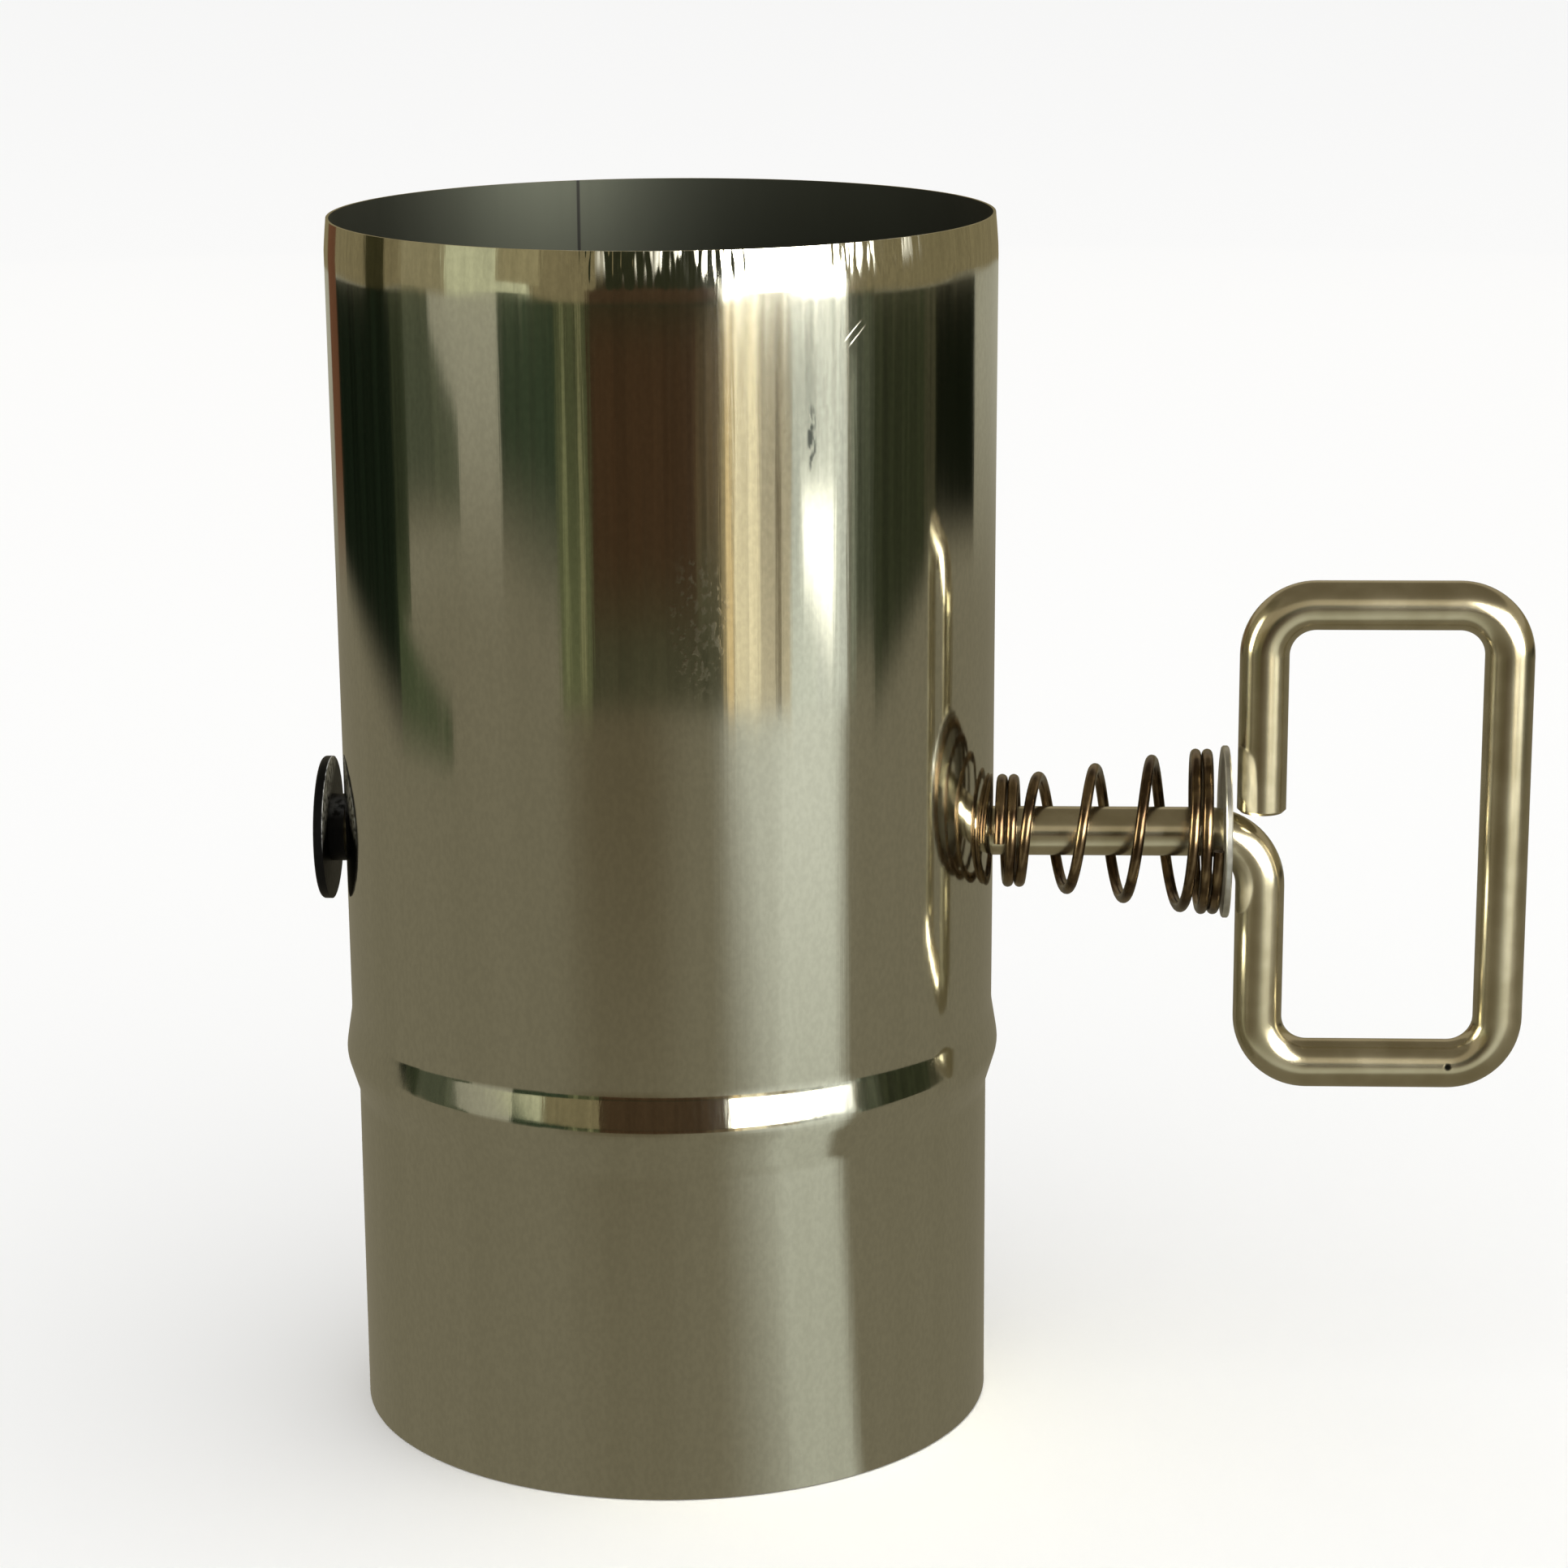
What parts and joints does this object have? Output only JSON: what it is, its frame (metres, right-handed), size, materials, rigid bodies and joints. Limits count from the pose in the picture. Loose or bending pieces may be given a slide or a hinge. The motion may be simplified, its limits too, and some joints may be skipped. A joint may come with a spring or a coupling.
{
  "type": "stove pipe damper",
  "caption": "Short polished flue section with a round damper plate on a shaft, turned by a sprung wire-loop handle.",
  "frame": {"origin": "centre of the spigot's end, in the plane of the pipe's bottom rim", "axes": "+Z along the pipe towards the socket, +X along the shaft towards the handle"},
  "size_m": [0.1108, 0.0604, 0.1105],
  "materials": {
    "polished_steel": "polished",
    "rod_steel": "bronze-grey, satin",
    "plate_steel": "satin",
    "spring_steel": "brown tempered",
    "washer_zinc": "zinc plated",
    "button_black": "black"
  },
  "bodies": {
    "pipe": {"pipe": "polished_steel", "return_spring": "spring_steel"},
    "washer": {"handle_washer": "washer_zinc"},
    "damper": {"handle_rod": "rod_steel", "damper_plate": "plate_steel", "end_button": "button_black"}
  },
  "joints": [
    {"name": "push_in", "type": "slide", "parent": "pipe", "child": "washer", "axis": [-1, 0, 0], "range_m": [0, 0.0007], "stiffness_N_per_m": 2000, "springref_m": -0.004, "deforming": ["return_spring"]},
    {"name": "plate_turn", "type": "hinge", "parent": "washer", "child": "damper", "pos_m": [0, 0, 0.0538], "axis": [1, 0, 0], "continuous": true}
  ]
}
